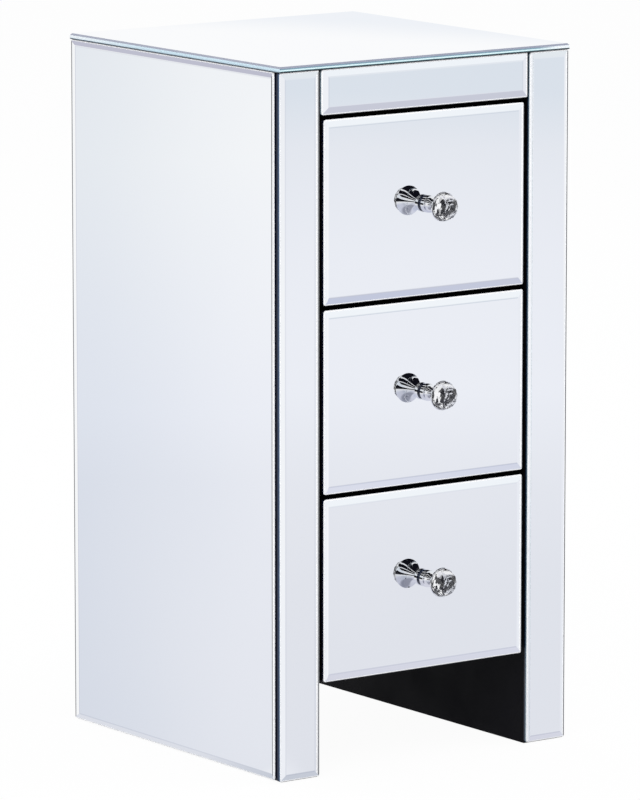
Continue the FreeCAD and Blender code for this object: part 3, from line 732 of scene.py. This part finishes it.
class NIGHTSTAND_OT_top_pane(Operator):
    """Model the top mirror with its polished arris"""

    bl_idname = "nightstand.top_pane"
    bl_label = "Top Pane"

    def execute(self, context):
        settings = context.scene.nightstand_panes
        low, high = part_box("top_mirror")
        piece = slab("top_pane", low, high)
        enter("EDIT")
        bevel_edges(piece, settings.top_arris, 1, lambda edge: lies_at(edge, UPWARD, high.z))
        bevel_edges(piece, settings.rim, 1, lambda edge: lies_at(edge, UPWARD, low.z))
        enter("OBJECT")
        # the top silver gets a painted shade towards its back right corner, standing in for a darker reflection
        mirror = mirror_finish("top_silver_glass", settings.top_silver, settings.top_painted_shade, high)
        # painted reflection: the ground arris is a lilac grey that stands in for what it reflects
        arris = ground_finish("top_arris", (0.34, 0.36, 0.45), (0.28, 0.305, 0.39))
        # the top's edges: dark with painted shade near the silvered back, pale with painted light at their far ends
        flanks = edge_finish("top_flank_edge", 2, low.z, high.z, PALE_EDGE_PAINTED, (1, 0.2 * high.y, 1.1 * high.y))
        front = edge_finish("top_front_edge", 2, low.z, high.z, TEAL_EDGE_PAINTED, (0, 0.75 * high.x, 0.95 * high.x))
        backing = backing_finish()
        finishes = (mirror, arris, flanks, backing, front)

        def zone(face):
            if face.normal.z > EDGE_TURN:
                found = mirror if face.normal.z > -BACK_TURN else arris
            elif face.normal.z < BACK_TURN:
                found = backing
            else:
                found = flanks if abs(face.normal.x) > abs(face.normal.y) else front
            return finishes.index(found)

        dress(piece, finishes, zone)
        stand_for(piece, "top_mirror", "carcass")
        return {"FINISHED"}


# painted shade darkens the edges towards their silvered backs, painted light pales them towards the front
# share of the glass thickness from the silvered back, and the colour of the edge there
SHADED_EDGE_PAINTED = [(0.0, 0.003, 0.003, 0.005), (0.5, 0.007, 0.009, 0.028), (0.78, 0.018, 0.03, 0.075),
               (0.92, 0.33, 0.43, 0.53), (1.0, 0.68, 0.78, 0.84)]
OPEN_EDGE_PAINTED = [(0.0, 0.004, 0.007, 0.018), (0.26, 0.015, 0.03, 0.065), (0.44, 0.12, 0.19, 0.25),
             (0.58, 0.5, 0.63, 0.7), (0.95, 0.78, 0.88, 0.92)]
CORNER_EDGE_PAINTED = [(0.0, 0.008, 0.011, 0.02), (0.2, 0.017, 0.024, 0.044), (0.5, 0.024, 0.04, 0.085),
               (0.64, 0.036, 0.066, 0.135), (0.72, 0.22, 0.32, 0.43), (0.9, 0.56, 0.7, 0.78)]
PALE_EDGE_PAINTED = [(0.0, 0.006, 0.012, 0.018), (0.14, 0.03, 0.055, 0.075), (0.26, 0.5, 0.66, 0.76),
             (0.6, 0.62, 0.79, 0.88), (1.0, 0.52, 0.66, 0.78)]
TEAL_EDGE_PAINTED = [(0.0, 0.004, 0.01, 0.014), (0.22, 0.006, 0.022, 0.028), (0.28, 0.4, 0.7, 0.76),
             (0.37, 0.86, 0.99, 1.0), (0.47, 0.6, 0.82, 0.87), (0.56, 0.17, 0.3, 0.38),
             (1.0, 0.17, 0.27, 0.36)]
# painted light: colour that the edges of the top grow to at their far ends
PALE_END_PAINTED_LIGHT = (0.84, 0.89, 0.92)


# distance from the pane to the top of the foot, the neck, the rim's start and end, and the bottom of the seat
FOOT_TOP, NECK, RIM_START, RIM_END, SEAT = 6.0 * MM, 9.5 * MM, 24.0 * MM, 25.0 * MM, 21.0 * MM
# steps of the hollow above the foot and of the trumpet's flare
HOLLOW_STEPS, FLARE_STEPS = 8, 16
# how far the edges of the foot and of the rim are rounded
FOOT_ROUND, RIM_ROUND = 0.5 * MM, 0.2 * MM


def knob_rings(settings):
    """Distance from the pane and radius of each ring of the turned base, in order."""
    foot, neck, cup = settings.foot, settings.neck, settings.cup
    shoulder = foot - FOOT_ROUND
    rings = [(settings.gasket, foot - settings.gasket_step), (settings.gasket, foot), (FOOT_TOP - 0.8 * MM, foot),
             (FOOT_TOP - 0.25 * MM, foot - 0.12 * MM), (FOOT_TOP, shoulder)]
    for step in range(1, HOLLOW_STEPS + 1):
        turn = math.pi / 2 * step / HOLLOW_STEPS
        rings.append((FOOT_TOP + (NECK - FOOT_TOP) * (1 - math.cos(turn)),
                      shoulder - (shoulder - neck) * math.sin(turn)))
    flare, rise = RIM_START - NECK, cup - neck
    radius = (flare * flare + rise * rise) / (2 * rise)
    sweep = math.asin(flare / radius)
    for step in range(1, FLARE_STEPS + 1):
        turn = sweep * step / FLARE_STEPS
        rings.append((NECK + radius * math.sin(turn), neck + radius * (1 - math.cos(turn))))
    return rings + [(RIM_START + RIM_ROUND, cup), (RIM_END - RIM_ROUND, cup), (RIM_END, cup - RIM_ROUND),
                    (RIM_END, cup - settings.lip), (SEAT, settings.seat)]


def drawn_out(name, centre, sides, start, radius, rings, faceted=False):
    """Form drawn out ring by ring in front of the pane: each ring's distance, radius and turn."""
    clear_selection()
    bpy.ops.mesh.primitive_circle_add(vertices=sides, radius=radius, fill_type="NGON",
                                      location=centre + FORWARD * start, rotation=(math.pi / 2, 0, 0))
    piece = settle(name)
    enter("EDIT")
    bpy.ops.mesh.select_all(action="SELECT")
    for distance, ring, turn in rings:
        middle = centre + FORWARD * distance
        bpy.ops.mesh.extrude_region_move(TRANSFORM_OT_translate={"value": (0, start - distance, 0)})
        bpy.ops.transform.resize(value=(ring / radius, 1, ring / radius), center_override=middle)
        if turn:
            bpy.ops.transform.rotate(value=turn, orient_axis="Y", center_override=middle)
        start, radius = distance, ring
    bpy.ops.mesh.select_all(action="SELECT")
    if faceted:
        bpy.ops.mesh.quads_convert_to_tris(quad_method="SHORTEST_DIAGONAL", ngon_method="BEAUTY")
    bpy.ops.mesh.normals_make_consistent(inside=False)
    enter("OBJECT")
    return piece


# distance from the pane and radius of the crystal's back, and in millimetres those of its rings, with half turns
CRYSTAL_BACK = (21.15 * MM, 4.6 * MM)
CRYSTAL_RINGS = ((25.1, 11.7, 1), (26.4, 11.8, 0), (31.0, 10.3, 1), (34.4, 7.0, 1), (36.0, 4.0, 1))


class NIGHTSTAND_OT_knobs(Operator):
    """Turn the chrome knob bases and cut their crystals"""

    bl_idname = "nightstand.knobs"
    bl_label = "Knobs"

    def execute(self, context):
        settings = context.scene.nightstand_knobs
        chrome = polished_finish("polished_chrome", settings.chrome, settings.chrome_shade, 160.0, (0.03, 0.09),
                                 Metallic=1.0)
        crystal = polished_finish("cut_crystal", settings.crystal, settings.crystal_shade, 220.0, (0.0, 0.015),
                                  Transmission_Weight=1.0, IOR=1.56, Specular_IOR_Level=0.1)
        washer = ground_finish("washer", settings.washer, settings.washer_light)
        low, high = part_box("lower_knob_base")
        centre = Vector(((low.x + high.x) / 2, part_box("lower_front_mirror")[0].y, (low.z + high.z) / 2))
        rings = [(*ring, 0) for ring in knob_rings(settings)]
        trumpet = drawn_out("lower_knob_trumpet", centre, settings.sides, 0.0, settings.foot - settings.gasket_step,
                            rings)
        bpy.ops.object.shade_smooth_by_angle(angle=math.radians(40))
        edge = centre.y - 1.05 * settings.gasket
        dress(trumpet, (chrome, washer), lambda face: int(face.center.y > edge and abs(face.normal.y) < 0.5))
        half = math.pi / settings.facets
        rings = [(distance * MM, radius * MM, half * turned) for distance, radius, turned in CRYSTAL_RINGS]
        stone = drawn_out("lower_cut_crystal", centre, settings.facets, *CRYSTAL_BACK, rings, True)
        dress(stone, (crystal,), lambda face: 0)
        in_every_drawer(trumpet, "knob_trumpet", "knob_base")
        in_every_drawer(stone, "cut_crystal", "knob_crystal")
        return {"FINISHED"}


def coat(nodes, material):
    """Give solids of the frame a finish."""
    for node in nodes:
        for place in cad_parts[node].material_slots:
            place.material = material


def each(*kinds):
    """Names of the nodes of these kinds in every drawer."""
    return [f"{drawer}_{kind}" for drawer in DRAWERS for kind in kinds]


class NIGHTSTAND_OT_cabinet(Operator):
    """Finish the boards of the cabinet"""

    bl_idname = "nightstand.cabinet"
    bl_label = "Cabinet Boards"

    def execute(self, context):
        colours = context.scene.nightstand_finishes
        paint = painted_finish("black_paint", colours.paint, colours.paint_light, colours.dust, 1100.0, 0.06, 0.03)
        coat(["left_side_board", "right_side_board", "left_leg_board", "right_leg_board", "top_board",
              "bottom_board", "left_stile_board", "right_stile_board", "top_rail_board", *each("front_board")], paint)
        panel = painted_finish("painted_hardboard", colours.hardboard, colours.foil_light, colours.dust, 480.0,
                               0.12, 0.04)
        coat(["back_board"], panel)
        coat(["runner_battens"], pine_finish(colours.pine, colours.pine_dark))
        return {"FINISHED"}


class NIGHTSTAND_OT_drawers(Operator):
    """Finish the drawer boxes"""

    bl_idname = "nightstand.drawers"
    bl_label = "Drawer Boxes"

    def execute(self, context):
        colours = context.scene.nightstand_finishes
        for name, grain_axis, kinds in (("drawer_side_foil", 1, ("left_side", "right_side")),
                                        ("drawer_back_foil", 0, ("back", "bottom"))):
            coat(each(*kinds), foil_finish(name, colours.foil, colours.foil_light, colours.dust, grain_axis))
        return {"FINISHED"}


class NIGHTSTAND_OT_metalwork(Operator):
    """Finish the runners, ball cages, balls and screws"""

    bl_idname = "nightstand.metalwork"
    bl_label = "Runners and Screws"

    def execute(self, context):
        colours = context.scene.nightstand_finishes
        even = (1.0, 1.0, 1.0)
        for name, pale, dark, run, scale, nodes in (
                ("runner_zinc", colours.zinc, colours.zinc_dark, (1.0, 0.03, 1.0), 1400.0,
                 ["cabinet_runners", *each("drawer_runners")]),
                ("cage_steel", colours.steel, colours.zinc_dark, (1.0, 0.05, 1.0), 1800.0, each("ball_cages")),
                ("ball_steel", colours.steel, colours.steel_dark, even, 2400.0, each("bearing_balls")),
                ("screw_zinc", colours.zinc, colours.zinc_dark, even, 2000.0,
                 ["carcass_screws", "back_screws", "cabinet_runner_screws", *each("runner_screws", "knob_screw")])):
            coat(nodes, zinc_finish(name, pale, dark, run, scale))
        return {"FINISHED"}


def light_path(tree):
    """Light path, and whether a ray was mirrored more than once or passed through a crystal."""
    path = put("LightPath", tree=tree).outputs
    twice = calc("GREATER_THAN", path["Glossy Depth"], 1.5)
    return path, twice, calc("GREATER_THAN", path["Transmission Depth"], 0.5)


def studio_world(settings):
    """White surround for the camera and the mirrors, with dark cards overhead that the knobs catch."""
    world = bpy.data.worlds.new("studio")
    bpy.context.scene.world = world
    world.use_nodes = True
    tree = world.node_tree
    east, north, up = parts(put("TexCoord", tree=tree).outputs["Generated"])
    path, twice, through = light_path(tree)
    card = tuple(settings.card)
    stops = []
    for start, end in DARK_CARDS:
        stops += [(start - CARD_BLUR, *WHITE), (start, *card), (end, *card), (end + CARD_BLUR, *WHITE)]
    cards = ramp(calc("DIVIDE", calc("ARCTAN2", up, east), math.pi), stops)
    # the cards end at a height that is lower to the sides than in front, and don't reach far behind
    foot = spread(north, -0.7, -0.45, 0.345, 0.29)
    above = spread(calc("SUBTRACT", up, foot), 0.0, 0.04)
    ahead = spread(north, 0.7, 0.45)
    wall = mix(spread(north, -0.35, -0.55), WHITE, ramp(up, WALL_TONES))
    seen = mix(times(above, ahead), wall, cards)
    # a dark strip over the horizon, higher on the right, that shows only in a second mirror
    right = times(spread(east, 0.3, 0.6), spread(north, 0.1, -0.05))
    top = calc("MULTIPLY_ADD", right, 0.5, 0.12)
    dark = spread(calc("SUBTRACT", up, top), 0.03, 0.0)
    seen = mix(times(times(twice, ahead), dark), seen, card)
    # slanting stripes that only the crystals catch
    slant = calc("MULTIPLY_ADD", calc("ARCTAN2", east, north), CRYSTAL_STRIPES, times(up, CRYSTAL_STRIPES))
    caught = mix(spread(calc("SINE", slant), *STRIPE_BLUR), WHITE, card)
    colour = mix(path["Is Glossy Ray"], settings.ambient, seen)
    colour = mix(path["Is Camera Ray"], mix(through, colour, caught), WHITE)
    wire(tree.nodes["Background"], Color=colour)


# where each dark card starts and ends, as a share of the half turn from the right over the top to the left
DARK_CARDS = ((0.23, 0.455), (0.52, 0.665), (0.715, 0.815))
CARD_BLUR = 0.012
# how many dark stripes stand round the nightstand for the crystals to catch, and the sine where they fade
CRYSTAL_STRIPES = 7.0
STRIPE_BLUR = (-0.75, -0.6)
# tone of the wall in front by its height, as the sine of the angle above the horizon
WALL_TONES = [(0.0, 0.94, 0.97, 1.0), (0.238, 0.94, 0.97, 1.0), (0.264, 0.835, 0.875, 0.905),
              (0.3, 0.835, 0.875, 0.905), (0.34, 0.9, 0.92, 0.95)]


def floor_finish(settings):
    """Pale floor: white to the camera with a soft shadow, and to the mirrors in tones of painted shade and light."""
    made, shader, place = finish_named("pale_floor", Roughness=0.7, Specular_IOR_Level=0.1)
    tree = made.node_tree
    speck = spread(noise(place, 300.0, 2.0), 0.3, 0.7)
    wire(shader, Base_Color=mix(speck, settings.floor, (0.92, 0.92, 0.925)))

    def from_camera(vector):
        """Components of a vector to the camera's right and away from it."""
        turn = {"Vector": vector, "Angle": settings.azimuth}
        return parts(put("VectorRotate", turn, rotation_type="Z_AXIS").outputs[0])[:2]

    # the floor on the camera's line through the nightstand, with painted shade behind it
    across, along = from_camera(place)
    depth = calc("ABSOLUTE", along)
    behind = spread(along, -0.02, 0.1)
    tone = ramp(spread(along, -FLOOR_REACH, FLOOR_REACH, smooth=False), FLOOR_PAINTED_TONES)
    drawn = calc("SUBTRACT", across, times(depth, 0.046))
    near = calc("DIVIDE", drawn, calc("MULTIPLY_ADD", depth, 0.195, 1.0))
    tone = mix(times(spread(near, -0.2, -0.01), behind), tone, settings.floor_painted_shade, "MULTIPLY")
    # the floor beside that line, in painted light and shade
    lean = calc("DIVIDE", calc("ADD", across, 0.09), calc("ADD", depth, 0.35))
    lean = calc("MULTIPLY_ADD", behind, 0.08, lean)
    beside = mix(behind, ramp(spread(lean, -1.0, 1.0, smooth=False), SIDE_PAINTED_TONES), WHITE)
    heading = from_camera(put("NewGeometry", tree=tree).outputs["Incoming"])
    swing = spread(calc("DIVIDE", *heading), 0.12, 0.2)
    aside = calc("MAXIMUM", spread(calc("ABSOLUTE", lean), 0.2, 0.3), times(swing, behind))
    low = mix(aside, tone, beside)
    # painted shade where the floor is seen steeply or in a second mirror from right above, dark at the horizon
    glance = put("LayerWeight", {"Blend": 0.5}, tree).outputs["Facing"]
    steep = mix(behind, ramp(spread(depth, 0.0, NEAR_REACH, smooth=False), NEAR_PAINTED_TONES), settings.floor_steep_painted_shade)
    mirrored = mix(spread(glance, 0.55, 0.8), steep, low)
    path, twice, through = light_path(tree)
    mirrored = mix(times(twice, spread(glance, 0.3, 0.12)), mirrored, settings.floor_below_painted_shade)
    mirrored = mix(times(twice, spread(glance, 0.84, 0.88)), mirrored, settings.card)
    # stripes that only the crystals catch
    stripe = calc("SINE", times(calc("ARCTAN2", *parts(place)[:2]), CRYSTAL_STRIPES))
    far = times(spread(glance, 0.55, 0.65), spread(stripe, *STRIPE_BLUR))
    caught = mix(far, mix(spread(stripe, 0.3, 0.45), WHITE, (0.82, 0.82, 0.86)), settings.card)
    colour = mix(through, mix(path["Is Glossy Ray"], WHITE, mirrored), caught)
    glow = put("Emission", {"Color": colour})
    to_mirror = calc("MAXIMUM", path["Is Glossy Ray"], path["Is Transmission Ray"])
    share = weighted(path["Is Camera Ray"], 0.96, to_mirror, 0.97)
    both = put("MixShader", {0: share, 1: shader.outputs[0], 2: glow.outputs[0]})
    wire(tree.nodes["Material Output"], Surface=both.outputs[0])
    return made


# painted shade and light on the floor, which only the mirrors see
# tone of the floor seen in the mirrors, from this far in front of the nightstand to as far behind it
FLOOR_REACH = 6.0
FLOOR_PAINTED_TONES = [(0.1, 0.765, 0.815, 0.88), (0.155, 0.84, 0.862, 0.915), (0.25, 0.882, 0.897, 0.95),
               (0.335, 0.892, 0.907, 0.96), (0.385, 0.83, 0.844, 0.897), (0.43, 0.807, 0.82, 0.872),
               (0.495, 0.807, 0.82, 0.872), (0.505, 0.835, 0.85, 0.905), (0.54, 0.848, 0.861, 0.915),
               (0.615, 0.858, 0.872, 0.926), (0.65, 0.9, 0.913, 0.965), (0.83, 0.98, 0.987, 0.995)]
# painted shade of the floor just in front, seen steeply in the bottom bevels, up to this distance
NEAR_REACH = 1.2
NEAR_PAINTED_TONES = [(0.03, 0.6, 0.63, 0.705), (0.14, 0.71, 0.713, 0.8), (0.41, 0.747, 0.765, 0.866),
              (0.675, 0.57, 0.605, 0.75), (0.94, 0.608, 0.618, 0.708)]
# painted light and shade of the floor to the left and right of the camera's line through the nightstand
SIDE_PAINTED_TONES = [(0.13, 1.0, 1.0, 1.0), (0.15, 0.885, 0.89, 0.93), (0.225, 0.885, 0.89, 0.93),
              (0.242, 0.965, 0.975, 0.99), (0.3, 0.94, 0.95, 0.985), (0.7, 0.87, 0.885, 0.935),
              (0.74, 0.87, 0.885, 0.935), (0.765, 0.96, 0.965, 0.985)]


# width of the camera's sensor in millimetres
SENSOR = 36.0
# steps round the floor, its radius, and how far it lies below the boards
FLOOR_SIDES, FLOOR_RADIUS, FLOOR_DROP = 128, 30.0, 0.3 * MM
# the place that the lamps look at, their size, and the place of each with its share of the key's power
LAMP_AIM, LAMP_SIZE = Vector((0, 0, 0.3)), 2.6
LAMPS = (("key_lamp", (-2.6, -2.2, 3.0), 1.0), ("fill_lamp", (2.8, -1.6, 2.6), 0.85),
         ("back_lamp", (-0.6, 3.0, 2.8), 0.6))


class NIGHTSTAND_OT_stage(Operator):
    """Set up the floor, the light and the camera"""

    bl_idname = "nightstand.stage"
    bl_label = "Stage"

    def execute(self, context):
        settings = context.scene.nightstand_stage
        clear_selection()
        bpy.ops.mesh.primitive_circle_add(vertices=FLOOR_SIDES, radius=FLOOR_RADIUS, fill_type="NGON",
                                          location=(0, 0, -FLOOR_DROP))
        floor = bpy.context.active_object
        floor.name = "floor"
        floor.data.materials.append(floor_finish(settings))
        studio_world(settings)
        for name, place, share in LAMPS:
            clear_selection()
            aim = (LAMP_AIM - Vector(place)).to_track_quat("-Z", "Y").to_euler()
            bpy.ops.object.light_add(type="AREA", location=place, rotation=aim)
            lamp = bpy.context.active_object
            lamp.name = name
            lamp.data.size = LAMP_SIZE
            lamp.data.energy = settings.key_power * share
            lamp.visible_camera = lamp.visible_glossy = lamp.visible_transmission = False
        low, high = CAD_BOX
        low = Vector((low.x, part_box("left_stile_mirror")[0].y, low.z))
        turn, rise = settings.azimuth, settings.elevation
        back = Vector((math.sin(turn) * math.cos(rise), -math.cos(turn) * math.cos(rise), math.sin(rise)))
        facing = (-back).to_track_quat("-Z", "Y")
        shift = facing @ Vector((settings.aim[0], settings.aim[1], 0))
        clear_selection()
        bpy.ops.object.camera_add(location=(low + high) / 2 + back * settings.distance + shift,
                                  rotation=facing.to_euler())
        camera = bpy.context.active_object
        camera.name = "photo_camera"
        camera.data.sensor_width = SENSOR
        camera.data.lens = settings.lens
        context.scene.camera = camera
        context.scene.view_settings.view_transform = "Standard"
        return {"FINISHED"}


class NIGHTSTAND_PT_sidebar(Panel):
    """Lists the nightstand's operators and settings"""

    bl_idname = "NIGHTSTAND_PT_sidebar"
    bl_label = "Mirrored Nightstand"
    bl_space_type = "VIEW_3D"
    bl_region_type = "UI"
    bl_category = "Nightstand"

    def draw(self, context):
        for operator in OPERATORS:
            self.layout.operator(operator.bl_idname)
        for name, kind in SETTINGS.items():
            box = self.layout.box()
            box.label(text=kind.__doc__)
            for key in kind.__annotations__:
                box.prop(getattr(context.scene, name), key)


SETTINGS = {"nightstand_panes": PaneSettings, "nightstand_knobs": KnobSettings,
            "nightstand_finishes": FinishSettings, "nightstand_stage": StageSettings}
OPERATORS = (NIGHTSTAND_OT_stage, NIGHTSTAND_OT_cabinet, NIGHTSTAND_OT_drawers, NIGHTSTAND_OT_metalwork,
             NIGHTSTAND_OT_side_panes, NIGHTSTAND_OT_frame_panes, NIGHTSTAND_OT_drawer_panes,
             NIGHTSTAND_OT_top_pane, NIGHTSTAND_OT_knobs)


def register():
    for kind in (*SETTINGS.values(), *OPERATORS, NIGHTSTAND_PT_sidebar):
        bpy.utils.register_class(kind)
    for name, kind in SETTINGS.items():
        setattr(bpy.types.Scene, name, PointerProperty(type=kind))


def unregister():
    for name in SETTINGS:
        delattr(bpy.types.Scene, name)
    for kind in (NIGHTSTAND_PT_sidebar, *reversed(OPERATORS), *SETTINGS.values()):
        bpy.utils.unregister_class(kind)


def main():
    register()
    bpy.ops.nightstand.stage()
    bpy.ops.nightstand.cabinet()
    bpy.ops.nightstand.drawers()
    bpy.ops.nightstand.metalwork()
    bpy.ops.nightstand.side_panes()
    bpy.ops.nightstand.frame_panes()
    bpy.ops.nightstand.drawer_panes()
    bpy.ops.nightstand.top_pane()
    bpy.ops.nightstand.knobs()
    clear_selection()


if __name__ == "__main__":
    main()
